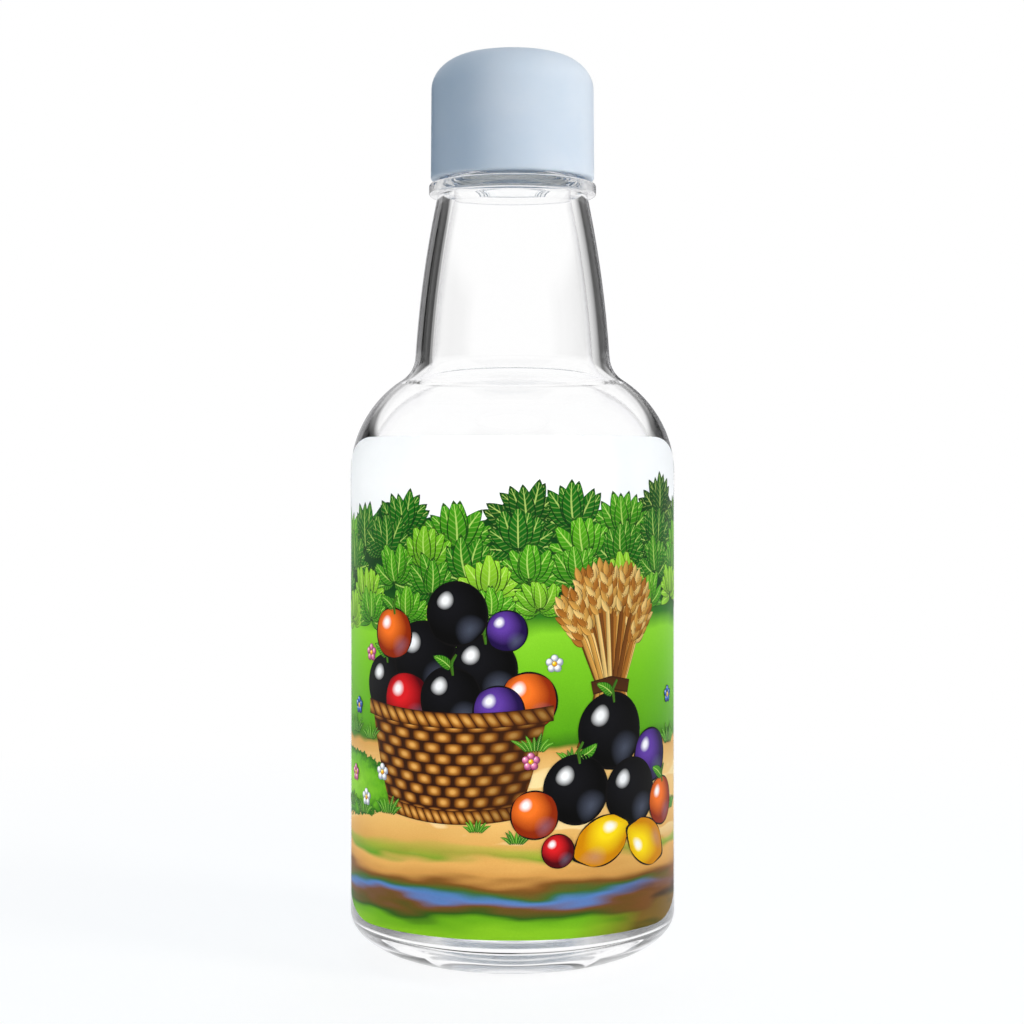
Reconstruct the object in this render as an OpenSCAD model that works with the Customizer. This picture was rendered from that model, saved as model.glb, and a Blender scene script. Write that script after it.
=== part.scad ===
// Miniature glass bottle with a threaded finish, a plastic screw cap, its sealing liner and a front label.
// Millimetres, +Z up, -Y is the front. The origin is the middle of the circle that the bottle stands on.

/* [Glass body] */
// Outside diameter of the straight body
body_d = 38; // [34:0.5:42]
// Length of the straight body, from the top of the heel to the start of the shoulder
body_h = 50.7; // [35:0.1:70]
// Radius of the shoulder's arc
shoulder_r = 13.2; // [12:0.1:14.5]
// Thickness of the glass in the body, shoulder and neck
wall = 2; // [1.5:0.1:2.6]
// Thickness of the base, from the table to the floor of the hollow
base_t = 4.6; // [3.6:0.1:7]

/* [Heel and base] */
// How far the rounded heel reaches in from the side
heel_w = 10.5; // [4:0.1:12]
// How far the rounded heel reaches up the side
heel_h = 5.5; // [3:0.1:8]
// How far the hollow's rounded floor corner reaches in
floor_w = 8.6; // [3:0.1:10]
// How far the hollow's rounded floor corner reaches up
floor_h = 4.2; // [2:0.1:6]
// Width of the flat ring that the bottle stands on
ring_w = 1.2; // [0.6:0.1:2]
// Rise of the punt in the middle of the base
punt_h = 1.5; // [0.5:0.1:2]

/* [Neck] */
// Diameter of the neck where it leaves the shoulder
foot_d = 23; // [21:0.1:25]
// Diameter of the neck just under the flange
neck_d = 17.6; // [17:0.1:18.6]
// How far the neck's side bows out of straight
neck_bow = 0.42; // [0:0.02:0.8]
// Length of the blend between neck and shoulder, along each of them
foot_blend = 2; // [0.6:0.1:2.4]
// Length of the neck, from its foot up to the flange's underside
neck_h = 20.8; // [15:0.1:35]
// How far the flange under the cap stands out from the neck
flange_out = 1; // [0.6:0.1:2]
// Thickness of the flange
flange_t = 1.4; // [1:0.1:2]
// Rounding of the flange's edge
flange_round = 0.3; // [0.2:0.05:0.48]

/* [Threaded finish] */
// Diameter of the finish between its threads
finish_d = 15.2; // [14:0.1:16]
// Height of the finish above the flange
finish_h = 11.9; // [11.4:0.1:12.4]
// Diameter of the bore that the drink pours through
bore_d = 10.4; // [9:0.1:11]
// Height over which the bore opens out into the neck, half of it above the flange
flare_h = 3; // [2:0.1:4]
// Rounding of the rim's outer edge
rim_round = 0.6; // [0.3:0.05:0.8]
// Rounding of the rim's inner edge
lip_round = 0.4; // [0.2:0.05:0.6]
// How far the thread stands out from the finish
thread_h = 0.75; // [0.5:0.05:0.8]
// Rise of the thread in one turn
pitch = 3.175; // [2.9:0.025:3.3]
// Number of turns of thread on the finish
finish_turns = 1.5; // [1.25:0.25:1.75]
// Height of the thread's lower end above the flange
thread_start = 4.2; // [4:0.1:4.6]
// Width of the thread where it leaves the glass
thread_root_w = 1.5; // [1.2:0.05:1.6]
// Width of the thread along its crest
thread_crest_w = 0.7; // [0.4:0.05:0.9]

/* [Cap] */
// Thickness of the cap's skirt at its mouth
skirt_t = 1.05; // [0.8:0.05:1.6]
// Draft of the cap's side: how much narrower it is at the top, on the diameter
cap_draft = 0.14; // [0:0.02:0.4]
// Gap between the cap's mouth and the flange
cap_gap = 0.5; // [0.3:0.1:1.5]
// Thickness of the cap's flat top
cap_top_t = 2.3; // [2:0.1:3]
// Rounding inside the cap's top, around the liner
cap_corner_h = 1.5; // [0.8:0.1:2]
// How far the rounded top corner reaches in
crown_w = 5.3; // [4:0.1:6]
// How far the rounded top corner reaches down
crown_h = 4.1; // [3:0.1:4.6]
// Rounding of the cap's lower edge
edge_round = 0.3; // [0.1:0.05:0.4]
// Width of the thread inside the cap where it leaves the skirt
cap_root_w = 1.2; // [0.9:0.05:1.3]
// Width of the cap thread's crest
cap_crest_w = 0.5; // [0.3:0.05:0.7]
// Number of turns of thread in the cap
cap_turns = 1.5; // [1.25:0.25:1.5]
// How far round the cap's thread starts before the glass thread, in turns
cap_lead = 0.25; // [0:0.05:0.25]
// Radial play between each thread and the wall it runs in
radial_play = 0.2; // [0.15:0.01:0.25]
// Axial play between the two threads when the cap is tight
axial_play = 0.3; // [0.1:0.05:0.5]

/* [Liner] */
// How far the liner's edge is in from the side of the finish that it seals
liner_in = 0.1; // [0:0.1:0.6]
// Thickness of the liner
liner_t = 1; // [0.8:0.1:1.1]
// Rounding of the liner's lower edge
liner_round = 0.2; // [0.05:0.05:0.3]
// Clearance around the liner in the cap's top
liner_clear = 0.05; // [0.02:0.01:0.1]

/* [Label] */
// How far the label's lower edge is above the heel
label_low = 0.1; // [0:0.1:20]
// How far the label's upper edge laps onto the shoulder
label_lap = 4.3; // [-20:0.1:5]
// How far the label's upright edges are in from the body's sides, seen from the front
label_side = 0.4; // [0.3:0.1:10]
// Radius of the label's corners, seen from the front
label_corner = 2.55; // [1:0.05:5]
// Thickness of the label
label_t = 0.15; // [0.1:0.01:0.25]

/* [Hidden] */

STEPS_ARC = 12;         // straight steps in a large arc of a profile
STEPS_EDGE = 4;         // and in a small rounded edge
STEPS_TURN = 40;        // steps in one turn of a thread
FADE = 0.09;            // part of a turn over which a thread sinks away at each end
BURIED = 0.28;          // how deep a thread's root is sunk in its wall
FADED = 0.15;           // height left at a thread's very end, as a part of its full height
EPS = 0.01;
$fn = 96;

body_r = body_d / 2;
neck_r = neck_d / 2;
foot_r = foot_d / 2;
flange_r = neck_r + flange_out;
finish_r = finish_d / 2;
bore_r = bore_d / 2;
thread_r = finish_r + thread_h;
liner_r = finish_r - liner_in;
cap_in_r = thread_r + radial_play;
cap_thread_r = finish_r + radial_play;
cap_r = cap_in_r + skirt_t;
crown_r = cap_r - cap_draft / 2;
ring_r = body_r - heel_w;

// The middle of the shoulder's arc, and the point where it reaches the neck.
shoulder_c = [body_r - shoulder_r, heel_h + body_h];
foot = [foot_r, shoulder_c.y + sqrt(pow(shoulder_r, 2) - pow(foot_r - shoulder_c.x, 2))];

// Heights from the foot of the neck up to the top of the cap.
flange_z = foot.y + neck_h;
flange_top = flange_z + flange_t;
thread_z = flange_top + thread_start;
rim_z = flange_top + finish_h;
liner_top = rim_z + liner_t;
cap_z = flange_top + cap_gap;
cap_top = liner_top + cap_top_t;

// Half the length between the threads' middles that leaves the axial play between their flanks.
thread_slope = (thread_root_w - thread_crest_w) / 2 / thread_h;
flank_w = thread_root_w / 2 - radial_play * thread_slope + cap_crest_w / 2;
cap_thread_drop = flank_w + axial_play;

// Part of an ellipse about c, from angle a0 to a1, as a list of points.
function arc(c, rx, ry, a0, a1, steps) = [
    for (i = [0:steps])
        let (a = a0 + (a1 - a0) * i / steps)
        [c.x + rx * cos(a), c.y + ry * sin(a)]
];

// A blend from a to b that leaves a and reaches b along the lines to the corner.
function blend(a, corner, b, steps) = [
    for (i = [0:steps])
        let (t = i / steps)
        a * pow(1 - t, 2) + corner * 2 * t * (1 - t) + b * pow(t, 2)
];

// A curve from a to b that bows out by the given height at its middle.
function bowed(a, b, bow, steps) =
    let (along = (b - a) / norm(b - a), out = [along.y, -along.x])
    blend(a, (a + b) / 2 + out * 2 * bow, b, steps);

// The point at the given distance from a on the way to b.
function towards(a, b, distance) = a + (b - a) / norm(b - a) * distance;

// A list of points without those that repeat the one before them.
function distinct(points) = [
    for (i = [0:len(points) - 1])
        if (i == 0 || norm(points[i] - points[max(0, i - 1)]) > EPS) points[i]
];

// The points moved to the left of their line by the depth.
function inset(points, depth) = [
    for (i = [0:len(points) - 1])
        let (along = points[min(i + 1, len(points) - 1)] - points[max(i - 1, 0)])
        points[i] + [-along.y, along.x] / norm(along) * depth
];

// A list of points the other way round.
function reversed(points) = [for (i = [len(points) - 1:-1:0]) points[i]];

// The side of the glass above the straight body: the shoulder, the blend into the neck and the neck itself.
shoulder_end = acos((foot_r - shoulder_c.x) / shoulder_r) - foot_blend / shoulder_r * 180 / PI;
shoulder_side = arc(shoulder_c, shoulder_r, shoulder_r, 0, shoulder_end, STEPS_ARC * 2);
neck_side = bowed(foot, [neck_r, flange_z], neck_bow, STEPS_ARC);
neck_start = towards(foot, neck_side[1], foot_blend);
upper_side = distinct(concat(
    shoulder_side,
    blend(shoulder_side[len(shoulder_side) - 1], foot, neck_start, STEPS_EDGE * 2),
    [for (p = neck_side) if (p.y > neck_start.y) p]
));
heel_side = arc([ring_r, heel_h], heel_w, heel_h, -90, 0, STEPS_ARC);

// The flange's edge and the bare finish above it, up to the flat of the rim.
flange_edge = concat(
    arc([flange_r - flange_round, flange_z + flange_round], flange_round, flange_round, -90, 0, STEPS_EDGE),
    arc([flange_r - flange_round, flange_top - flange_round], flange_round, flange_round, 0, 90, STEPS_EDGE)
);
finish_side = concat(
    [[finish_r, flange_top]],
    arc([finish_r - rim_round, rim_z - rim_round], rim_round, rim_round, 0, 90, STEPS_EDGE),
    arc([bore_r + lip_round, rim_z - lip_round], lip_round, lip_round, 90, 180, STEPS_EDGE)
);

// The hollow, from the bore down to the middle of its floor. It follows the outside of the neck and shoulder.
hollow_r = body_r - wall;
upper_inside = reversed(inset(upper_side, wall));
throat = upper_inside[0];
flare_leave = [bore_r, flange_top + flare_h / 4];
flare_arrive = [throat.x, flange_top - flare_h / 4];
flare_middle = (flare_leave + flare_arrive) / 2;
hollow_side = concat(
    blend([bore_r, flange_top + flare_h / 2], flare_leave, flare_middle, STEPS_EDGE),
    blend(flare_middle, flare_arrive, throat, STEPS_EDGE),
    upper_inside,
    arc([hollow_r - floor_w, base_t + floor_h], floor_w, floor_h, 0, -90, STEPS_ARC),
    [[0, base_t]]
);

// The punt under the base, from its middle out to the bearing ring.
punt_r = ring_r - ring_w;
punt_side = [
    for (i = [0:STEPS_EDGE * 2])
        let (r = punt_r * i / STEPS_EDGE / 2)
        [r, punt_h * (1 - pow(r / punt_r, 2))]
];

// A thread that climbs from height z for a number of turns, its root sunk in a wall of radius root_r.
module thread(root_r, crest_r, root_w, crest_w, z, turns, start) {
    rings = round(turns * STEPS_TURN);
    side = sign(crest_r - root_r);
    deep_r = root_r - side * BURIED;
    points = [
        for (i = [0:rings])
            let (
                t = i / STEPS_TURN,
                fade = min(1, t / FADE, (turns - t) / FADE),
                out_r = deep_r + (crest_r - deep_r) * max(FADED, fade),
                a = (start + t) * 360,
                mid = z + (start + t) * pitch,
                low = [[deep_r, -side * root_w / 2], [out_r, -side * crest_w / 2]],
                high = [[out_r, side * crest_w / 2], [deep_r, side * root_w / 2]]
            )
            for (p = concat(low, high)) [p.x * cos(a), p.x * sin(a), mid + p.y]
    ];
    // Each side of the thread between two rings is two triangles.
    sides = [
        for (i = [0:rings - 1])
            for (k = [0:3])
                let (a = 4 * i + k, b = 4 * i + (k + 1) % 4)
                for (f = [[a, b, a + 4], [b, b + 4, a + 4]]) f
    ];
    last = 4 * rings;
    ends = [[0, 2, 1], [0, 3, 2], [last, last + 1, last + 2], [last, last + 2, last + 3]];
    polyhedron(points = points, faces = concat(sides, ends));
}

module bottle() {
    color([0.86, 0.9, 0.92, 0.5]) {
        rotate_extrude()
            polygon(distinct(concat(
                punt_side, heel_side, upper_side, flange_edge, finish_side, hollow_side
            )));
        thread(finish_r, thread_r, thread_root_w, thread_crest_w, thread_z, finish_turns, 0);
    }
}

// The skirt and top are one shell. Its inside is a straight wall with a rounded corner around the liner.
module cap() {
    corner_w = cap_in_r - liner_r - liner_clear;
    outside = concat(
        arc([cap_r - edge_round, cap_z + edge_round], edge_round, edge_round, -90, 0, STEPS_EDGE),
        arc([crown_r - crown_w, cap_top - crown_h], crown_w, crown_h, 0, 90, STEPS_ARC)
    );
    inside = concat(
        arc([cap_in_r - corner_w, liner_top - cap_corner_h], corner_w, cap_corner_h, 90, 0, STEPS_EDGE),
        arc([cap_in_r + edge_round, cap_z + edge_round], edge_round, edge_round, 180, 270, STEPS_EDGE)
    );
    color([0.78, 0.83, 0.88]) {
        rotate_extrude()
            polygon(distinct(concat(outside, [[0, cap_top], [0, liner_top]], inside)));
        thread(
            cap_in_r, cap_thread_r, cap_root_w, cap_crest_w, thread_z - cap_thread_drop, cap_turns, -cap_lead
        );
    }
}

module liner() {
    edge = arc([liner_r - liner_round, rim_z + liner_round], liner_round, liner_round, -90, 0, STEPS_EDGE);
    color([0.93, 0.93, 0.9])
        rotate_extrude()
            polygon(concat([[0, liner_top], [0, rim_z]], edge, [[liner_r, liner_top]]));
}

// The label's outline from the front: a rectangle with rounded corners, its lower edge at height 0.
module label_outline(w, h, corner) {
    x = w / 2 - corner;
    polygon(concat(
        arc([x, corner], corner, corner, -90, 0, STEPS_EDGE * 2),
        arc([x, h - corner], corner, corner, 0, 90, STEPS_EDGE * 2),
        arc([-x, h - corner], corner, corner, 90, 180, STEPS_EDGE * 2),
        arc([-x, corner], corner, corner, 180, 270, STEPS_EDGE * 2)
    ));
}

// The label is a skin on the side of the glass, cut to its outline straight back from the front.
module label() {
    label_h = body_h - label_low + label_lap;
    side = concat([[body_r, heel_h]], shoulder_side);
    outer = [for (i = [len(side) - 1:-1:0]) side[i] + [label_t, 0]];
    color([0.55, 0.7, 0.25])
        intersection() {
            rotate_extrude()
                polygon(concat(side, outer));
            translate([0, 0, heel_h + label_low])
                rotate([90, 0, 0])
                    linear_extrude(height = body_d)
                        label_outline(body_d - 2 * label_side, label_h, label_corner);
        }
}

bottle();
cap();
liner();
label();
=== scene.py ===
"""A miniature glass bottle with a plastic screw cap and a printed front label, in a plain white studio."""
import math

import bpy
import numpy as np
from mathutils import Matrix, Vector


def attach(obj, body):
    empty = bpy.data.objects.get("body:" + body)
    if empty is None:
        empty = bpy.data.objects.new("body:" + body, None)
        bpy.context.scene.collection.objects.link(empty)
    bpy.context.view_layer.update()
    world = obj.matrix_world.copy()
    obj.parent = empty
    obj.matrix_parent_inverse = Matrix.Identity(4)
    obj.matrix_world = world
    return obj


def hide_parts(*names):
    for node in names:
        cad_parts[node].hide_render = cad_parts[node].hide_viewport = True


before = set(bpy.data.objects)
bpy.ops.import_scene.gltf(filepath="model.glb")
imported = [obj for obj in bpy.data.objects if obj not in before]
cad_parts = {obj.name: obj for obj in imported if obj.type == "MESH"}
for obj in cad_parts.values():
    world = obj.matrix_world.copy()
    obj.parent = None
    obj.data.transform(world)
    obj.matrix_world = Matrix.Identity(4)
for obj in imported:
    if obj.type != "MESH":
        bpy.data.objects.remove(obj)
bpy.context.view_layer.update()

MM = 0.001

# ---------------------------------------------------------------- sizes, in millimetres as in the CAD model

BODY_R, BODY_H, WALL, BASE_T = 19.0, 50.7, 2.0, 4.6
HEEL_W, HEEL_H, FLOOR_W, FLOOR_H = 10.5, 5.5, 8.6, 4.2
RING_W, PUNT_H = 1.2, 1.5
SHOULDER_R, FOOT_R, FOOT_BLEND = 13.2, 11.5, 2.0
FLARE_H = 3.0
NECK_R, NECK_H, NECK_BOW = 8.8, 20.8, 0.42
FLANGE_OUT, FLANGE_T, FLANGE_ROUND = 1.0, 1.4, 0.3
FINISH_R, FINISH_H, BORE_R, RIM_ROUND, LIP_ROUND = 7.6, 11.9, 5.2, 0.6, 0.4
THREAD_H, PITCH, THREAD_START, THREAD_TURNS = 0.75, 3.175, 4.2, 1.5
THREAD_ROOT_W, THREAD_CREST_W = 1.5, 0.7
SKIRT_T, CAP_DRAFT, CAP_GAP, CAP_TOP_T, CAP_CORNER_H = 1.05, 0.14, 0.5, 2.3, 1.5
CROWN_W, CROWN_H, EDGE_ROUND = 5.3, 4.1, 0.3
CAP_ROOT_W, CAP_CREST_W, CAP_TURNS, CAP_LEAD = 1.2, 0.5, 1.5, 0.25
RADIAL_PLAY, AXIAL_PLAY = 0.2, 0.3
LINER_T, LINER_IN, LINER_CLEAR = 1.0, 0.1, 0.05
THREAD_FADE = 0.09      # part of a turn over which a thread sinks away at each end

SHOULDER_C = (BODY_R - SHOULDER_R, HEEL_H + BODY_H)


def on_shoulder(r, arc_r):
    """The point where the shoulder's arc of radius arc_r is at radius r."""
    return (r, SHOULDER_C[1] + math.sqrt(arc_r ** 2 - (r - SHOULDER_C[0]) ** 2))


FOOT = on_shoulder(FOOT_R, SHOULDER_R)
FLANGE_Z = FOOT[1] + NECK_H
FLANGE_TOP = FLANGE_Z + FLANGE_T
THREAD_Z = FLANGE_TOP + THREAD_START
RIM_Z = FLANGE_TOP + FINISH_H
LINER_TOP = RIM_Z + LINER_T
CAP_Z = FLANGE_TOP + CAP_GAP
CAP_TOP = LINER_TOP + CAP_TOP_T
CAP_IN_R = FINISH_R + THREAD_H + RADIAL_PLAY
CAP_R = CAP_IN_R + SKIRT_T

# ---------------------------------------------------------------- how fine the turned meshes are

SEGMENTS = 176                                      # steps all round
TURNS = [i / SEGMENTS for i in range(SEGMENTS)]
FINISH_ROWS, SKIRT_ROWS = 210, 200                  # rows of the two walls that carry a thread
SHOULDER_STEPS, NECK_STEPS, FOOT_STEPS = 48, 30, 14
CURVE_STEPS, WALL_STEPS, EDGE_STEPS, LIP_STEPS = 28, 12, 8, 6
SAME_POINT = 0.004                                  # points nearer than this count as one
ON_WALL = 0.01                                      # a radius this near to a wall's is on that wall
SHARP_ANGLE = 40                                    # degrees from which an edge stays sharp


# ---------------------------------------------------------------- profiles, as lists of (radius, height)

def arc(cx, cz, rx, rz, start, end, steps):
    """Part of an ellipse about (cx, cz), from angle start to end in degrees."""
    angles = np.radians(np.linspace(start, end, steps + 1))
    return [(cx + rx * math.cos(a), cz + rz * math.sin(a)) for a in angles]


def blend(a, corner, b, steps):
    """A curve from a to b that leaves and arrives along the lines to the corner."""
    a, corner, b = (np.array(p) for p in (a, corner, b))
    return [tuple(a * (1 - t) ** 2 + corner * 2 * t * (1 - t) + b * t * t) for t in np.linspace(0, 1, steps + 1)]


def inset(points, depth):
    """The points moved to their left by the depth, across the line through their neighbours."""
    moved = []
    for i, p in enumerate(points):
        along = np.array(points[min(i + 1, len(points) - 1)]) - points[max(i - 1, 0)]
        moved.append(tuple(np.array(p) + np.array((-along[1], along[0])) / np.linalg.norm(along) * depth))
    return moved


def bowed(a, b, bow, steps):
    """A curve from a to b that bows out by the given height at its middle."""
    a, b = np.array(a), np.array(b)
    along = (b - a) / np.linalg.norm(b - a)
    corner = (a + b) / 2 + np.array((along[1], -along[0])) * 2 * bow
    return blend(a, corner, b, steps)


def line(a, b, steps):
    """Evenly spaced points from a to b."""
    return [tuple(p) for p in np.linspace(a, b, steps + 1)]


def distinct(points):
    """The points without those that repeat the one before them."""
    kept = points[:1]
    for p in points[1:]:
        if math.dist(p, kept[-1]) > SAME_POINT:
            kept.append(p)
    return kept


def base_outside():
    """From the middle of the punt over the ring that the bottle stands on, and up the heel."""
    ring_r = BODY_R - HEEL_W
    punt_r = ring_r - RING_W
    punt = [(r, PUNT_H * (1 - (r / punt_r) ** 2)) for r in np.linspace(0, punt_r, WALL_STEPS + 1)]
    ring = line((punt_r, 0), (ring_r, 0), steps=3)
    return punt + ring + arc(ring_r, HEEL_H, HEEL_W, HEEL_H, -90, 0, CURVE_STEPS)


def shoulder_and_neck():
    """The shoulder's arc, softly turned into the bowed side of the neck, up to the flange."""
    end = math.degrees(math.acos((FOOT_R - SHOULDER_C[0]) / SHOULDER_R) - FOOT_BLEND / SHOULDER_R)
    shoulder = arc(*SHOULDER_C, SHOULDER_R, SHOULDER_R, 0, end, SHOULDER_STEPS)
    side = bowed(FOOT, (NECK_R, FLANGE_Z), NECK_BOW, NECK_STEPS)
    start = np.array(FOOT) + (np.array(side[1]) - FOOT) / math.dist(side[1], FOOT) * FOOT_BLEND
    foot = blend(shoulder[-1], FOOT, start, FOOT_STEPS)
    return shoulder + foot + [p for p in side if p[1] > start[1]]


def finish_outside():
    """From the flange up the wall that carries the thread, over the rim and into the bore."""
    edge_r = NECK_R + FLANGE_OUT - FLANGE_ROUND
    flange = arc(edge_r, FLANGE_Z + FLANGE_ROUND, FLANGE_ROUND, FLANGE_ROUND, -90, 0, EDGE_STEPS) + arc(
        edge_r, FLANGE_TOP - FLANGE_ROUND, FLANGE_ROUND, FLANGE_ROUND, 0, 90, EDGE_STEPS)
    wall = line((FINISH_R, FLANGE_TOP), (FINISH_R, RIM_Z - RIM_ROUND), FINISH_ROWS)
    rim = arc(FINISH_R - RIM_ROUND, RIM_Z - RIM_ROUND, RIM_ROUND, RIM_ROUND, 0, 90, EDGE_STEPS)
    lip = arc(BORE_R + LIP_ROUND, RIM_Z - LIP_ROUND, LIP_ROUND, LIP_ROUND, 90, 180, LIP_STEPS)
    return flange + wall + rim + lip


def hollow(outer):
    """From the bore, through the flare below it, down the wall inside the outer curve and over the floor."""
    inside = inset(distinct(outer), WALL)[::-1]
    throat = inside[0]
    bore = line((BORE_R, RIM_Z - LIP_ROUND), (BORE_R, FLANGE_TOP + FLARE_H / 2), steps=6)
    leave, arrive = (BORE_R, FLANGE_TOP + FLARE_H / 4), (throat[0], FLANGE_TOP - FLARE_H / 4)
    middle = tuple((np.array(leave) + arrive) / 2)
    flare = blend(bore[-1], leave, middle, steps=10) + blend(middle, arrive, throat, steps=10)
    hollow_r = BODY_R - WALL
    floor_z = BASE_T + FLOOR_H
    wall = line((hollow_r, SHOULDER_C[1]), (hollow_r, floor_z), WALL_STEPS)
    floor = arc(hollow_r - FLOOR_W, floor_z, FLOOR_W, FLOOR_H, 0, -90, CURVE_STEPS)
    return bore + flare + inside + wall + floor + [(0, BASE_T)]


def bottle_profile():
    """The closed outline of the glass: from the middle of the punt out, up to the rim and down the hollow."""
    body = line((BODY_R, HEEL_H), (BODY_R, SHOULDER_C[1]), WALL_STEPS)
    upper = shoulder_and_neck()
    return distinct(base_outside() + body + upper + finish_outside() + hollow(upper))


def cap_profile():
    """The closed outline of the cap: from its mouth up the outside, over the top and down the inside."""
    crown_r = CAP_R - CAP_DRAFT / 2
    liner_r = FINISH_R - LINER_IN
    corner_w = CAP_IN_R - liner_r - LINER_CLEAR
    mouth = arc(CAP_R - EDGE_ROUND, CAP_Z + EDGE_ROUND, EDGE_ROUND, EDGE_ROUND, -90, 0, EDGE_STEPS)
    side = line((CAP_R, CAP_Z + EDGE_ROUND), (crown_r, CAP_TOP - CROWN_H), WALL_STEPS)
    crown = arc(crown_r - CROWN_W, CAP_TOP - CROWN_H, CROWN_W, CROWN_H, 0, 90, CURVE_STEPS)
    top = line((crown_r - CROWN_W, CAP_TOP), (0, CAP_TOP), steps=6)
    corner = arc(CAP_IN_R - corner_w, LINER_TOP - CAP_CORNER_H, corner_w, CAP_CORNER_H, 90, 0, EDGE_STEPS)
    wall = line((CAP_IN_R, LINER_TOP - CAP_CORNER_H), (CAP_IN_R, CAP_Z + EDGE_ROUND), SKIRT_ROWS)
    lead_in = arc(CAP_IN_R + EDGE_ROUND, CAP_Z + EDGE_ROUND, EDGE_ROUND, EDGE_ROUND, 180, 270, steps=4)
    return distinct(mouth + side + crown + top + [(0, LINER_TOP)] + corner + wall + lead_in)


# ---------------------------------------------------------------- the threads

def smoothstep(x):
    x = min(max(x, 0.0), 1.0)
    return x * x * (3 - 2 * x)


def thread_height(z, turn, base_z, turns, lead, root_w, crest_w):
    """How far the thread stands out at height z, a part of a turn round, as a share of its full height."""
    best = 0.0
    for k in range(-1, math.ceil(turns) + 1):
        t = turn + k + lead
        if 0 <= t <= turns:
            off = abs(z - base_z - (t - lead) * PITCH)
            flank = (root_w / 2 - off) / (root_w / 2 - crest_w / 2)
            best = max(best, smoothstep(flank) * min(1, t / THREAD_FADE, (turns - t) / THREAD_FADE))
    return best


def with_glass_thread(r, z, turn):
    """The radius of the glass at a point of its profile, a part of a turn round."""
    if abs(r - FINISH_R) < ON_WALL and FLANGE_TOP < z < RIM_Z:
        r += THREAD_H * thread_height(z, turn, THREAD_Z, THREAD_TURNS, 0, THREAD_ROOT_W, THREAD_CREST_W)
    return r


def with_cap_thread(r, z, turn):
    """The radius of the cap at a point of its profile. Its thread runs under the one on the glass."""
    if abs(r - CAP_IN_R) < ON_WALL:
        slope = (THREAD_ROOT_W - THREAD_CREST_W) / 2 / THREAD_H
        drop = THREAD_ROOT_W / 2 - RADIAL_PLAY * slope + CAP_CREST_W / 2 + AXIAL_PLAY
        r -= THREAD_H * thread_height(z, turn, THREAD_Z - drop, CAP_TURNS, CAP_LEAD, CAP_ROOT_W, CAP_CREST_W)
    return r


# ---------------------------------------------------------------- meshes

def new_object(name, verts, faces, material, body):
    mesh = bpy.data.meshes.new(name)
    mesh.from_pydata([tuple(v) for v in verts], [], faces)
    mesh.validate()
    mesh.materials.append(material)
    ob = bpy.data.objects.new(name, mesh)
    bpy.context.collection.objects.link(ob)
    mesh.shade_smooth()
    mesh.set_sharp_from_angle(angle=math.radians(SHARP_ANGLE))
    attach(ob, body)
    return ob


def lathe(profile, radius_at):
    """Vertices and faces of a closed profile turned about Z. Points on the axis become one vertex each."""
    verts, rings = [], []
    for r, z in profile:
        if r < 1e-6:
            rings.append([len(verts)])
            verts.append((0, 0, z * MM))
            continue
        rings.append(list(range(len(verts), len(verts) + SEGMENTS)))
        for turn in TURNS:
            a, out = turn * math.tau, radius_at(r, z, turn)
            verts.append((out * math.cos(a) * MM, out * math.sin(a) * MM, z * MM))
    faces = []
    for lower, upper in zip(rings, rings[1:] + rings[:1]):
        if len(lower) == len(upper) == 1:
            continue
        for i in range(SEGMENTS):
            j = (i + 1) % SEGMENTS
            if len(lower) == 1:
                faces.append((lower[0], upper[j], upper[i]))
            elif len(upper) == 1:
                faces.append((lower[i], lower[j], upper[0]))
            else:
                faces.append((lower[i], lower[j], upper[j], upper[i]))
    return verts, faces


# ---------------------------------------------------------------- materials

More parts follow.
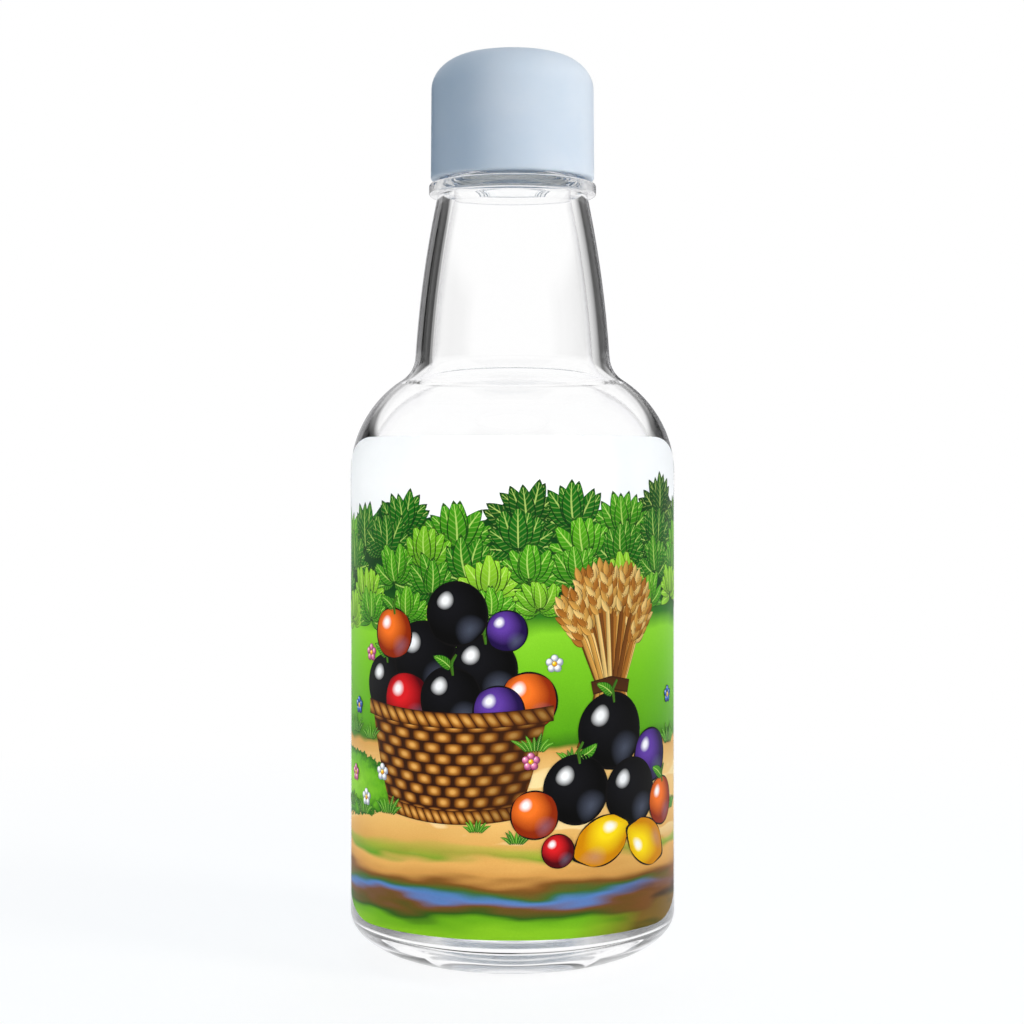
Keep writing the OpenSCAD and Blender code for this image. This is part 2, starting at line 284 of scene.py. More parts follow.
class Nodes:
    """A short way to build a tree of shader nodes, for a material or the world."""

    def __init__(self, name, world=False):
        self.data = (bpy.data.worlds if world else bpy.data.materials).new(name)
        self.data.use_nodes = True
        self.tree = self.data.node_tree
        self.shader = self.tree.nodes.get("Principled BSDF")

    def add(self, kind, inputs=None, **settings):
        node = self.tree.nodes.new("ShaderNode" + kind)
        for key, value in settings.items():
            setattr(node, key, value)
        for key, value in (inputs or {}).items():
            self.set(node, key, value)
        return node

    def set(self, node, key, value):
        if isinstance(value, bpy.types.NodeSocket):
            self.tree.links.new(value, node.inputs[key])
        else:
            node.inputs[key].default_value = value

    def surface(self, **values):
        for key, value in values.items():
            self.set(self.shader, key.replace("_", " "), value)

    def ramp(self, fac, stops, interpolation="LINEAR"):
        node = self.add("ValToRGB", {"Fac": fac})
        ramp = node.color_ramp
        ramp.interpolation = interpolation
        while len(ramp.elements) < len(stops):
            ramp.elements.new(0.5)
        for element, (place, colour) in zip(ramp.elements, stops):
            element.position = place
            colour = (colour,) * 3 if isinstance(colour, (int, float)) else colour
            element.color = (*colour, 1)
        return node.outputs["Color"]

    def swatches(self, fac, colours):
        """One of the colours, by the equal part of 0 to 1 that fac falls in."""
        return self.ramp(fac, [(i / len(colours), c) for i, c in enumerate(colours)], "CONSTANT")

    def maths(self, operation, *values):
        node = self.add("Math", operation=operation)
        for i, value in enumerate(values):
            self.set(node, i, value)
        return node.outputs[0]

    def times(self, a, b):
        return self.maths("MULTIPLY", a, b)

    def size(self, value):
        return self.maths("ABSOLUTE", value)

    def larger(self, a, b):
        return self.maths("MAXIMUM", a, b)

    def centred(self, value, middle=0.0):
        """0 to 1 spread over -1 to 1, and measured from the middle given."""
        return self.maths("MULTIPLY_ADD", value, 2.0, -1.0 - middle)

    def length(self, a, b):
        return self.maths("SQRT", self.maths("ADD", self.times(a, a), self.times(b, b)))

    def mix(self, fac, a, b, blend_type="MIX"):
        node = self.add("Mix", {0: fac, 6: a, 7: b}, data_type="RGBA", blend_type=blend_type)
        return node.outputs[2]

    def over(self, fac, base, *screen):
        """The base with a colour, given by its screen values, laid over it as far as fac."""
        return self.mix(fac, base, (*rgb(*screen), 1))

    def noise(self, vector, scale, detail=2.0):
        return self.add("TexNoise", {"Vector": vector, "Scale": scale, "Detail": detail}).outputs[0]

    def place(self):
        """The point's place in the model, in millimetres."""
        own = self.add("TexCoord").outputs["Object"]
        return self.add("Mapping", {"Vector": own, "Scale": (1 / MM, 1 / MM, 1 / MM)}).outputs[0]

    def bump(self, height, distance):
        return self.add("Bump", {"Height": height, "Distance": distance * MM}).outputs[0]


def rgb(red, green, blue):
    """A colour from its 0-255 screen values."""
    return tuple((c / 255 / 12.92 if c <= 10 else ((c / 255 + 0.055) / 1.055) ** 2.4) for c in (red, green, blue))


def glass_material():
    """Flint glass. Seen along its surface its colour darkens: partly the real loss of light that has gone furthest
    through it, and mostly painted shade for the dark edges that clear glass shows.
    """
    m = Nodes("clear_glass")
    facing = m.add("LayerWeight", {"Blend": 0.5}).outputs["Facing"]
    # Painted shade: the colour darkens towards grazing angles and draws the glass's dark edge lines.
    tint = m.ramp(facing, [(0.6, (1.0, 1.0, 1.0)), (0.8, (0.84, 0.83, 0.87)), (0.97, (0.40, 0.40, 0.44))])
    m.surface(Base_Color=tint, Roughness=0.0, IOR=1.5, Transmission_Weight=1.0)
    return m.data


def cap_material():
    """Satin plastic, a little cloudy, that lets some light through."""
    m = Nodes("cap_plastic")
    cloud = m.noise(m.place(), 0.18, 3.0)
    tint = m.ramp(cloud, [(0.35, rgb(216, 226, 238)), (0.65, rgb(222, 230, 241))])
    grain = m.noise(m.place(), 14.0)
    m.surface(Base_Color=tint, Roughness=0.45, IOR=1.46, Normal=m.bump(grain, 0.006),
              Subsurface_Weight=0.6, Subsurface_Radius=(1, 1, 1), Subsurface_Scale=1.5 * MM)
    return m.data


def liner_material():
    """Foam with small closed cells."""
    m = Nodes("liner_foam")
    cells = m.add("TexVoronoi", {"Vector": m.place(), "Scale": 5.0}).outputs["Distance"]
    tint = m.ramp(cells, [(0.0, rgb(214, 214, 208)), (0.6, rgb(238, 238, 233))])
    m.surface(Base_Color=tint, Roughness=0.8, Normal=m.bump(cells, 0.03))
    return m.data


# ---------------------------------------------------------------- the label, and ink on it

LABEL_LOW, LABEL_LAP, LABEL_SIDE, LABEL_CORNER = 0.1, 4.3, 0.4, 2.55
LABEL_Z = HEEL_H + LABEL_LOW
LABEL_H = SHOULDER_C[1] + LABEL_LAP - LABEL_Z
LABEL_HALF = BODY_R * math.asin((BODY_R - LABEL_SIDE) / BODY_R)
FILM_BACK, FILM_FRONT, INK_LOW, INK_TOP = 0.02, 0.05, 0.003, 0.148      # lifts: off the glass, and INK_LOW off the film
CELL = 0.34                                         # longest side of a face of ink, so that it follows the curve


def on_label(x, v, lift):
    """The point x round from the middle of the label and v above its lower edge, lifted off the glass."""
    z = LABEL_Z + v
    above = max(z - SHOULDER_C[1], 0)
    r = SHOULDER_C[0] + math.sqrt((SHOULDER_R + lift) ** 2 - above ** 2)
    a = x / BODY_R
    return (r * math.sin(a) * MM, -r * math.cos(a) * MM, z * MM)


def side_limit(v):
    """How far round the label reaches at height v. It is cut straight back from the front, corners and all."""
    from_edge = min(v, LABEL_H - v)
    half = BODY_R - LABEL_SIDE
    if from_edge < LABEL_CORNER:
        half += math.sqrt(max(LABEL_CORNER ** 2 - (LABEL_CORNER - from_edge) ** 2, 0)) - LABEL_CORNER
    above = max(LABEL_Z + v - SHOULDER_C[1], 0)
    r = SHOULDER_C[0] + math.sqrt(SHOULDER_R ** 2 - above ** 2)
    return BODY_R * math.asin(min(half / r, 1))


def turned(x, v, angle):
    """A function that puts (across, along) at (x, v), with its along side leaning over by the angle."""
    ca, sa = math.cos(math.radians(angle)), math.sin(math.radians(angle))
    return lambda across, along: (x + across * ca + along * sa, v + along * ca - across * sa)


class Ink:
    """A mesh of printed shapes. Each shape is a grid of points, with its own place in the stack of ink and its tone,
    which is a pair of numbers of which the materials read the first."""

    def __init__(self):
        self.verts, self.faces, self.shape, self.tone = [], [], [], []

    def grid(self, point, columns, rows, depth, tone=(0, 0)):
        """point(s, t) gives (x, v) for s and t from 0 to 1. What falls outside the label is drawn in to its edge."""
        first = len(self.verts)
        lift = FILM_FRONT + INK_LOW + depth * (INK_TOP - FILM_FRONT - INK_LOW)
        for t in np.linspace(0, 1, rows + 1):
            for s in np.linspace(0, 1, columns + 1):
                x, v = point(s, t)
                v = min(max(v, 0), LABEL_H)
                x = max(-side_limit(v), min(side_limit(v), x))
                self.verts.append(on_label(x, v, lift))
                self.shape.append((s, t))
                self.tone.append(tone)
        for j in range(rows):
            for i in range(columns):
                k = first + j * (columns + 1) + i
                self.faces.append((k, k + 1, k + columns + 2, k + columns + 1))

    def leaf(self, x, v, length, width, angle, depth, tone, bend=0.0):
        put = turned(x, v, angle)

        def point(s, t):
            half = width / 2 * math.sin(math.pi * t ** 0.75) ** 0.8
            return put((s * 2 - 1) * half + bend * math.sin(math.pi * t), t * length)

        self.grid(point, max(6, round(width / CELL)), max(8, round(length / CELL)), depth, tone)

    def ball(self, x, v, r, depth, tone, long=1.0, angle=0.0, tips=0.0):
        """A round fruit, longer along its angle, and with pointed ends where tips is above 0."""
        put = turned(x, v, angle)

        def point(s, t):
            p, q = s * 2 - 1, t * 2 - 1
            p, q = p * math.sqrt(1 - q * q / 2), q * math.sqrt(1 - p * p / 2)
            far = math.hypot(p, q)
            stretch = 1 + tips * (abs(q) / max(far, 1e-6)) ** 14 * far
            return put(p * r, q * r * long * stretch)

        n = max(10, round(2 * r / CELL))
        self.grid(point, n, n, depth, tone)

    def stroke(self, points, width, depth, tone, taper=0.35):
        """A band along a smooth line through the points, narrower at its ends by the taper."""
        points = np.array(points, float)
        count = max(6, round(sum(math.dist(a, b) for a, b in zip(points, points[1:])) / CELL))

        def point(s, t):
            k = t * (len(points) - 1)
            i = min(int(k), len(points) - 2)
            ahead = points[min(i + 1, len(points) - 1)] - points[max(i - 1, 0)]
            here = points[i] * (1 - (k - i)) + points[i + 1] * (k - i)
            beyond = points[min(i + 2, len(points) - 1)] - points[i]
            way = ahead * (1 - (k - i)) + beyond * (k - i)
            way = way / max(np.linalg.norm(way), 1e-6)
            half = (s - 0.5) * width * (1 - taper * abs(2 * t - 1) ** 3)
            return here[0] - way[1] * half, here[1] + way[0] * half

        self.grid(point, max(2, round(width / CELL)), count, depth, tone)

    def piece(self, name, material):
        ob = new_object(name, self.verts, self.faces, material, "bottle")
        for layer, values in (("shape", self.shape), ("tone", self.tone)):
            data = ob.data.uv_layers.new(name=layer).data
            for loop in ob.data.loops:
                data[loop.index].uv = values[loop.vertex_index]
        return ob


# ---------------------------------------------------------------- inks

def layers(m):
    """The place across and along a printed shape, each from 0 to 1, and the shape's tone."""
    shape, tone = (m.add("SeparateXYZ", {0: m.add("UVMap", uv_map=name).outputs[0]}).outputs
                   for name in ("shape", "tone"))
    return shape[0], shape[1], tone[0]


def printed(m, colour):
    """Gloss vinyl with its print: fine dots of ink in the colour and a slightly uneven varnish."""
    dots = m.noise(m.place(), 9.0)
    colour = m.mix(0.07, colour, m.ramp(dots, [(0.35, 0.0), (0.65, 1.0)]), "SOFT_LIGHT")
    varnish = m.noise(m.place(), 0.9)
    m.surface(Base_Color=colour, Roughness=0.42, IOR=1.45, Specular_IOR_Level=0.1, Normal=m.bump(varnish, 0.01))
    return m.data


def film_material():
    m = Nodes("label_film")
    cloud = m.noise(m.place(), 0.3)
    return printed(m, m.ramp(cloud, [(0.3, rgb(250, 250, 250)), (0.7, rgb(254, 254, 254))]))


def leaf_material():
    """A pale midrib and veins, a dark root and a dark outline."""
    m = Nodes("leaf_ink")
    s, t, tone = layers(m)
    side = m.size(m.centred(s))
    base = m.ramp(tone, [(0.0, rgb(10, 64, 12)), (0.35, rgb(26, 112, 18)), (0.7, rgb(80, 172, 22)),
                         (1.0, rgb(148, 212, 46))])
    veins = m.maths("SINE", m.times(m.maths("SUBTRACT", t, m.times(side, 0.16)), 52.0))
    base = m.over(m.times(m.maths("GREATER_THAN", veins, 0.72), 0.28), base, 196, 226, 110)
    base = m.over(m.times(m.maths("SUBTRACT", 1.0, t), 0.55), base, 8, 56, 16)
    base = m.over(m.times(m.maths("LESS_THAN", side, 0.09), 0.6), base, 206, 232, 120)
    end = m.size(m.maths("MULTIPLY_ADD", t, 2.04, -1.02))
    outline = m.maths("GREATER_THAN", m.larger(side, end), 0.86)
    return printed(m, m.over(m.times(outline, 0.85), base, 6, 40, 14))


def tones(colours):
    """The tone of a shape for each of the colours: the middle of its equal part of 0 to 1."""
    return [((i + 0.5) / len(colours), 0.0) for i in range(len(colours))]


FRUIT_COLOURS = (rgb(12, 12, 16), rgb(96, 60, 158), rgb(218, 30, 34), rgb(244, 116, 34), rgb(254, 220, 20),
                 rgb(60, 116, 204), rgb(238, 142, 184), rgb(250, 250, 248))
FRUIT_SHADES = (rgb(0, 0, 0), rgb(28, 12, 62), rgb(76, 2, 10), rgb(138, 40, 4), rgb(206, 132, 0),
                rgb(14, 38, 96), rgb(150, 50, 96), rgb(150, 156, 170))
BLACK, PURPLE, RED, ORANGE, YELLOW, BLUE, PINK, WHITE = tones(FRUIT_COLOURS)


def fruit_material():
    """Each fruit turns to its shade on the lower right, with a faint glow there, a bright spot and a dark outline."""
    m = Nodes("fruit_ink")
    s, t, tone = layers(m)

    def away(cx, cy):
        return m.length(m.centred(s, cx), m.centred(t, cy))

    shade = m.ramp(away(-0.25, 0.3), [(0.3, 0.0), (1.25, 1.0)])
    base = m.mix(shade, m.swatches(tone, FRUIT_COLOURS), m.swatches(tone, FRUIT_SHADES))
    base = m.over(m.ramp(away(0.45, -0.5), [(0.05, 0.18), (0.5, 0.0)]), base, 150, 160, 190)
    spark = m.ramp(away(-0.38, 0.42), [(0.1, 1.0), (0.3, 0.0)])
    base = m.mix(m.times(spark, 0.9), base, (1, 1, 1, 1))
    edge = m.larger(m.size(m.centred(s)), m.size(m.centred(t)))
    return printed(m, m.over(m.maths("GREATER_THAN", edge, 0.93), base, 10, 8, 8))


STRAW_COLOURS = (rgb(74, 40, 14), rgb(122, 70, 24), rgb(176, 110, 40), rgb(216, 160, 74), rgb(240, 200, 120),
                 rgb(60, 120, 30))
STRAW = tones(STRAW_COLOURS)
TIE, STEM = STRAW[0], STRAW[5]


def straw_material():
    """Stalks, grains and stems, darker to the right and with a dark outline."""
    m = Nodes("straw_ink")
    s, _, tone = layers(m)
    base = m.over(m.ramp(s, [(0.2, 0.0), (1.0, 0.5)]), m.swatches(tone, STRAW_COLOURS), 60, 30, 8)
    outline = m.maths("GREATER_THAN", m.size(m.centred(s)), 0.78)
    return printed(m, m.over(m.times(outline, 0.7), base, 50, 26, 8))


def wicker_material():
    """Woven rods, and a slanting braid on the rims."""
    m = Nodes("wicker_ink")
    s, t, braided = layers(m)
    rows, stakes, strands, slant = 9.0, 8.0, 17.0, 0.8
    row = m.times(t, rows)
    odd = m.times(m.maths("FLOOR", row), 0.5)
    wave = m.maths("SINE", m.times(m.maths("ADD", m.times(s, stakes), odd), math.tau))
    across = m.maths("SINE", m.times(m.maths("FRACT", row), math.pi))
    weave = m.times(m.maths("MULTIPLY_ADD", wave, 0.5, 0.5), across)
    twist = m.maths("FRACT", m.maths("MULTIPLY_ADD", s, strands, m.times(t, slant)))
    rope = m.times(m.maths("SINE", m.times(twist, math.pi)), m.maths("SINE", m.times(t, math.pi)))
    light = m.maths("ADD", m.times(weave, m.maths("SUBTRACT", 1.0, braided)), m.times(rope, braided))
    tint = m.ramp(light, [(0.04, rgb(46, 22, 6)), (0.2, rgb(116, 64, 20)), (0.6, rgb(180, 116, 44)),
                          (0.95, rgb(222, 168, 84))])
    shade = m.ramp(m.size(m.centred(s, -0.2)), [(0.3, 0.0), (1.1, 0.6)])
    return printed(m, m.over(shade, tint, 60, 30, 8))


def field_material():
    """Shade under the leaves, a lawn, sand with a grassy bank, and long blurred streaks at the foot."""
    m = Nodes("field_ink")
    own = m.add("SeparateXYZ", {0: m.place()}).outputs
    x = m.times(m.maths("ARCTAN2", own[0], m.times(own[1], -1.0)), BODY_R)
    v = m.maths("SUBTRACT", own[2], LABEL_Z)

    def drift(across, up, detail, size):
        """Noise about 0 of the size given, with its own scales across and up the label."""
        at = m.add("CombineXYZ", {0: m.times(x, across), 1: m.times(v, up)}).outputs[0]
        return m.maths("MULTIPLY_ADD", m.noise(at, 1.0, detail), size, -size / 2)

    def bands(height, *stops):
        """Colours or values by height on the label, in millimetres."""
        return m.ramp(m.maths("DIVIDE", height, LABEL_H), [(h / LABEL_H, colour) for h, colour in stops])

    ground = bands(m.maths("ADD", v, drift(0.12, 0.12, 2.0, 3.4)),
                   (9.0, rgb(216, 160, 82)), (12.5, rgb(234, 186, 108)), (17.0, rgb(240, 200, 128)),
                   (20.4, rgb(214, 160, 84)), (20.9, rgb(58, 116, 18)), (22.5, rgb(88, 160, 20)),
                   (29.0, rgb(116, 192, 30)), (33.0, rgb(134, 206, 42)), (35.0, rgb(44, 112, 24)),
                   (37.5, rgb(12, 58, 18)))
    pale = m.ramp(drift(0.14, 0.45, 1.0, 1.0), [(0.08, 0.0), (0.12, 0.55)])
    sandy = bands(v, (8.6, 0.0), (10.0, 1.0), (18.0, 1.0), (19.5, 0.0))
    ground = m.over(m.times(pale, sandy), ground, 252, 232, 176)

    bank_x, bank_v, bank_w, bank_h = -27.0, 15.6, 14.0, 4.0
    bank = m.maths("ADD", m.length(m.maths("MULTIPLY_ADD", x, 1 / bank_w, -bank_x / bank_w),
                                   m.maths("MULTIPLY_ADD", v, 1 / bank_h, -bank_v / bank_h)),
                   drift(1.1, 1.1, 3.0, 0.5))
    grass = m.ramp(bank, [(0.3, rgb(140, 208, 44)), (0.75, rgb(98, 172, 26)), (0.94, rgb(34, 100, 16))])
    ground = m.mix(m.ramp(bank, [(0.97, 1.0), (1.0, 0.0)]), ground, grass)

    streaks = bands(m.maths("ADD", v, drift(0.07, 0.32, 2.0, 5.4)),
                    (0.4, rgb(132, 192, 34)), (1.9, rgb(104, 168, 26)), (2.6, rgb(44, 84, 22)),
                    (3.4, rgb(116, 74, 34)), (4.2, rgb(88, 130, 196)), (4.8, rgb(52, 104, 40)),
                    (5.7, rgb(122, 74, 28)), (6.6, rgb(208, 152, 78)), (8.3, rgb(226, 172, 94)),
                    (9.0, rgb(88, 156, 30)), (9.7, rgb(110, 178, 30)), (10.4, rgb(214, 164, 84)))
    to_right = m.ramp(m.maths("ADD", m.times(x, 1 / 30.0), m.times(v, -0.03)), [(0.2, 0.0), (0.5, 0.9)])
    earth = m.ramp(drift(0.09, 0.5, 2.0, 1.0), [(0.0, rgb(120, 74, 32)), (0.16, rgb(58, 32, 12))])
    streaks = m.mix(m.times(to_right, bands(v, (4.5, 1.0), (6.5, 0.0))), streaks, earth)
    return printed(m, m.mix(bands(v, (8.0, 1.0), (11.0, 0.0)), ground, streaks))


# ---------------------------------------------------------------- what is printed

SKYLINE = 49.6              # mean height of the foliage's top
LEAVES = 13                 # leaves in a clump
FAN, FAN_STEP = 104, 8.4    # degrees: how far a clump's first leaf leans, and how much less each next one does


def skyline(x):
    return SKYLINE + 0.04 * x + 1.1 * math.sin(0.36 * x + 0.7) + 0.7 * math.sin(0.83 * x + 2.1)


def clump(leaves, cx, cv, size, depth, light, rng):
    """Leaves that fan out from near one root, left and right in turn, the upright ones in front."""
    for n in range(LEAVES):
        turn = (n % 2 * 2 - 1) * (FAN - n * FAN_STEP) + rng.uniform(-6, 6)
        reach = size * (0.86 + 0.14 * math.cos(math.radians(turn))) + rng.uniform(-0.3, 0.3)
        x, v = cx + rng.uniform(-0.3, 0.3), cv + rng.uniform(-0.3, 0.3)
        tone = (min(max(light + n * 0.016, 0), 1), rng.random())
        leaves.leaf(x, v, reach, reach * 0.44, turn, depth + n * 0.008, tone, rng.uniform(-0.3, 0.3))


def foliage(leaves, rng):
    """Rows of clumps, dark behind and light in front, whose tops make a wavy edge. Each row has its height from the
    skyline, its spacing, its depth in the ink, its tone and the size of its leaves."""
    rows = ((-5.8, 6.6, 0.04, 0.05, 5.2), (-8.6, 6.1, 0.16, 0.22, 4.8), (-11.6, 5.6, 0.28, 0.42, 4.4),
            (-14.2, 5.2, 0.40, 0.6, 3.6))
    for row, (drop, spacing, depth, tone, size) in enumerate(rows):
        count = round(2 * LABEL_HALF / spacing)
        for k in range(count + 1):
            cx = -LABEL_HALF + (k + rng.uniform(-0.15, 0.15) + row % 2 * 0.5) * spacing
            light = tone + (0.42 if (k + row) % 3 == 0 else 0.0) + rng.uniform(-0.12, 0.12)
            clump(leaves, cx, skyline(cx) + drop, size, depth + (0.001 if k % 2 else 0), light, rng)


def tuft(leaves, x, v, size, depth, rng):
    """Blades of grass from one root."""
    for n in range(7):
        turn = (n - 3) * 17 + rng.uniform(-5, 5)
        leaves.leaf(x + (n - 3) * 0.12 * size, v, size * rng.uniform(0.75, 1.1), 0.24 * size, turn, depth + n * 0.002,
                    (rng.uniform(0.3, 0.75), 0.5), -0.1 * size * (n - 3) / 3)


def blossom(fruit, x, v, size, depth, tone):
    """Five petals round a yellow middle."""
    for n in range(5):
        a = math.tau * (n + 0.25) / 5
        fruit.ball(x + size * 0.62 * math.cos(a), v + size * 0.62 * math.sin(a), size * 0.46, depth + n * 0.002, tone)
    fruit.ball(x, v, size * 0.32, depth + 0.012, YELLOW)


def sheaf(straw, x, v, rng):
    """Ripe corn tied in a sheaf: stalks that spread above and below the band, each with an ear of grains."""
    stalks, grains, spread = 25, 9, 38
    for k in range(stalks):
        f = (k * 7 % stalks) / (stalks - 1) * 2 - 1
        turn = math.radians(f * spread)
        reach = 12.6 - 3.0 * f * f + rng.uniform(-0.8, 0.8)
        tip = (x + math.sin(turn) * reach, v + math.cos(turn) * reach)
        depth = 0.53 + k * 0.003
        straw.stroke([(x + f * 4.2, v - 7.0 + rng.uniform(-0.6, 0.6)), (x + f * 2.6, v - 3.4), (x + f * 1.7, v),
                      (x + math.sin(turn) * reach * 0.5 + f * 0.5, v + reach * 0.46), tip],
                     0.62, depth, STRAW[1 + k % 4])
        for n in range(grains):
            back = 4.6 - n * 0.5
            lean = math.degrees(turn) + (0 if n == grains - 1 else (n % 2 * 2 - 1) * 26)
            straw.leaf(tip[0] - math.sin(turn) * back, tip[1] - math.cos(turn) * back, 1.75, 0.95, lean,
                       depth + 0.0015, STRAW[2 + (k + n) % 3])
    straw.stroke([(x - 2.5, v - 0.3), (x, v + 0.2), (x + 2.5, v - 0.3)], 1.5, 0.62, TIE, 0.0)


def heap(fruit, leaves, straw, start, balls):
    """Fruit in front of one another, in the order given. Every second large one has a stem and a leaf."""
    for k, (x, v, r, tone, *form) in enumerate(balls):
        depth = start + k * 0.014
        fruit.ball(x, v, r, depth, tone, *form)
        if r > 2.4 and not form and k % 2 == 0:
            straw.stroke([(x + 0.3, v + r * 0.72), (x + 0.1, v + r + 0.3), (x + 0.7, v + r + 1.3)], 0.42,
                         depth + 0.004, STEM)
            leaves.leaf(x + 0.2, v + r * 0.9, 2.7, 1.3, 58 if k % 4 else -58, depth + 0.003, (0.55, 0.5), 0.2)


def basket(wicker):
    """The woven side and its two braided rims. They all curve up at the ends, as round things seen from above do."""
    middle, sag = -7.2, 0.9

    def band(low, height, half, columns, rows, depth, braided):
        wicker.grid(lambda s, t: (middle + (s * 2 - 1) * half(t), low + height * t + sag * (s * 2 - 1) ** 2),
                    columns, rows, depth, (braided, 0))

    band(13.0, 10.6, lambda t: 7.6 + 3.4 * t ** 0.7, 60, 34, 0.68, 0)
    band(22.9, 1.7, lambda t: 11.7, 60, 6, 0.70, 1)
    band(12.4, 1.5, lambda t: 8.2, 50, 6, 0.70, 1)


# Fruit in the basket and beside it: x, v, radius and colour, and for the long ones their stretch, angle and tips.
PILE = ((-15.8, 27.2, 3.4, BLACK), (-10.2, 30.4, 4.2, BLACK), (-3.2, 29.4, 3.8, BLACK), (1.8, 26.0, 3.2, ORANGE),
        (-14.6, 33.0, 2.9, ORANGE), (-6.2, 35.4, 3.6, BLACK), (-0.6, 33.6, 2.3, PURPLE), (-12.6, 25.6, 3.3, RED),
        (-6.9, 26.0, 3.7, BLACK), (-1.5, 24.8, 2.9, PURPLE))
LOOSE = ((11.6, 22.4, 4.3, BLACK), (18.0, 19.2, 3.1, PURPLE), (7.2, 16.2, 3.9, BLACK), (14.6, 15.4, 3.9, BLACK),
         (20.4, 13.8, 2.8, ORANGE), (2.4, 13.6, 2.7, ORANGE), (10.4, 10.4, 2.7, YELLOW, 1.3, 66, 0.2),
         (17.2, 9.6, 2.6, YELLOW, 1.3, -62, 0.2), (5.0, 9.6, 1.9, RED))
# Tufts of grass: x, v and size. Blossoms: x and v.
TUFTS = ((-24.5, 12.6, 2.0), (-20.6, 12.2, 2.4), (-15.4, 12.8, 2.2), (2.4, 20.4, 2.2), (6.6, 19.2, 1.8),
         (22.6, 20.0, 2.4), (-22.8, 21.2, 2.2), (-18.8, 20.8, 1.8), (-4.0, 11.6, 1.5), (23.4, 12.4, 1.8),
         (0.4, 10.4, 1.6))
BLOSSOMS = ((-23.0, 16.6), (-19.8, 14.2), (-21.8, 24.4), (-18.6, 30.6), (4.6, 30.0), (22.4, 25.6), (2.0, 19.4),
            (-16.4, 17.4))


def ground_shape(s, t):
    """The printed ground reaches from side to side and up behind the foliage."""
    v = t ** 1.5 * (skyline((2 * s - 1) * LABEL_HALF) - 3.2)
    return (2 * s - 1) * side_limit(v), v


def label_print():
    rng = np.random.default_rng(7)
    field, leaves, fruit, straw, wicker = Ink(), Ink(), Ink(), Ink(), Ink()
    field.grid(ground_shape, 150, 140, 0.0)
    foliage(leaves, rng)
    sheaf(straw, 11.5, 27.5, rng)
    heap(fruit, leaves, straw, 0.50, PILE)
    heap(fruit, leaves, straw, 0.72, LOOSE)
    basket(wicker)
    for x, v, size in TUFTS:
        tuft(leaves, x, v, size, 0.71, rng)
    for k, (x, v) in enumerate(BLOSSOMS):
        blossom(fruit, x, v, 0.95, 0.69 if v > 18 else 0.73, (PINK, WHITE, BLUE)[k % 3])
    field.piece("print_fields", field_material())
    leaves.piece("print_leaves", leaf_material())
    fruit.piece("print_fruit", fruit_material())
    straw.piece("print_sheaf", straw_material())
    wicker.piece("print_basket", wicker_material())


def label_film():
    """The vinyl film: two faces and an edge, with rounded corners."""
    columns, rows, corner_rows = 150, 120, 12
    rounding = LABEL_CORNER * (1 - np.cos(np.linspace(0, math.pi / 2, corner_rows)))
    heights = np.concatenate([rounding, np.linspace(LABEL_CORNER, LABEL_H - LABEL_CORNER, rows)[1:-1],
                              LABEL_H - rounding[::-1]])
    verts, faces = [], []
    for lift in (FILM_FRONT, FILM_BACK):
        for v in heights:
            for x in np.linspace(-side_limit(v), side_limit(v), columns + 1):
                verts.append(on_label(x, v, lift))
    wide, sheet = columns + 1, (columns + 1) * len(heights)
    for j in range(len(heights) - 1):
        for i in range(columns):
            k = j * wide + i
            faces.append((k, k + 1, k + wide + 1, k + wide))
            faces.append((sheet + k, sheet + k + wide, sheet + k + wide + 1, sheet + k + 1))
    rim = list(range(columns)) + [j * wide + columns for j in range(len(heights) - 1)] + [
        sheet - 1 - i for i in range(columns)] + [j * wide for j in range(len(heights) - 1, 0, -1)]
    for a, b in zip(rim, rim[1:] + rim[:1]):
        faces.append((a, sheet + a, sheet + b, b))
    film = new_object("label_film", verts, faces, film_material(), "bottle")
    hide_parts("label")


# ---------------------------------------------------------------- the object

glass = new_object("bottle_glass", *lathe(bottle_profile(), with_glass_thread), glass_material(), "bottle")
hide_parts("bottle")

cap = new_object("cap_shell", *lathe(cap_profile(), with_cap_thread), cap_material(), "cap")
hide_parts("cap")

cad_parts["liner"].data.materials[0] = liner_material()
label_film()
label_print()

# ---------------------------------------------------------------- studio, in metres

CAMERA_DISTANCE = 245.5 * MM
EYE_HEIGHT = 55.6 * MM
FRAME_PX = 1024                     # the frame is square
FRAME_WIDTH = FRAME_PX / 8.5 * MM   # what the frame's width covers at the bottle's axis
AXIS_COLUMN, EYE_ROW = 512.5, 480   # where the frame has the bottle's axis and eye level
SENSOR = 36

PANELS = 3                          # how often the studio's wall repeats its light and dark panels, all round
PLAIN_LEVEL = 0.29                  # strength of the world's soft light
FLOOR_R, FLOOR_SIDES, FLOOR_DROP = 3.0, 96, 0.00005
NEAR, FAR = 0.04, 0.2               # the floor changes between these distances from the axis
WARM = (1, 0.95, 0.89)
LABEL_MIDDLE = 0.036
BOUNCES = 96


def add_camera():
    data = bpy.data.cameras.new("camera")
    data.sensor_width = SENSOR
    data.lens = SENSOR * CAMERA_DISTANCE / FRAME_WIDTH
    data.shift_x = (FRAME_PX / 2 - AXIS_COLUMN) / FRAME_PX
    data.shift_y = (EYE_ROW - FRAME_PX / 2) / FRAME_PX
    data.clip_start = 0.01
    camera = bpy.data.objects.new("camera", data)
    camera.location = (0, -CAMERA_DISTANCE, EYE_HEIGHT)
    camera.rotation_euler = (math.pi / 2, 0, 0)
    bpy.context.collection.objects.link(camera)
    bpy.context.scene.camera = camera


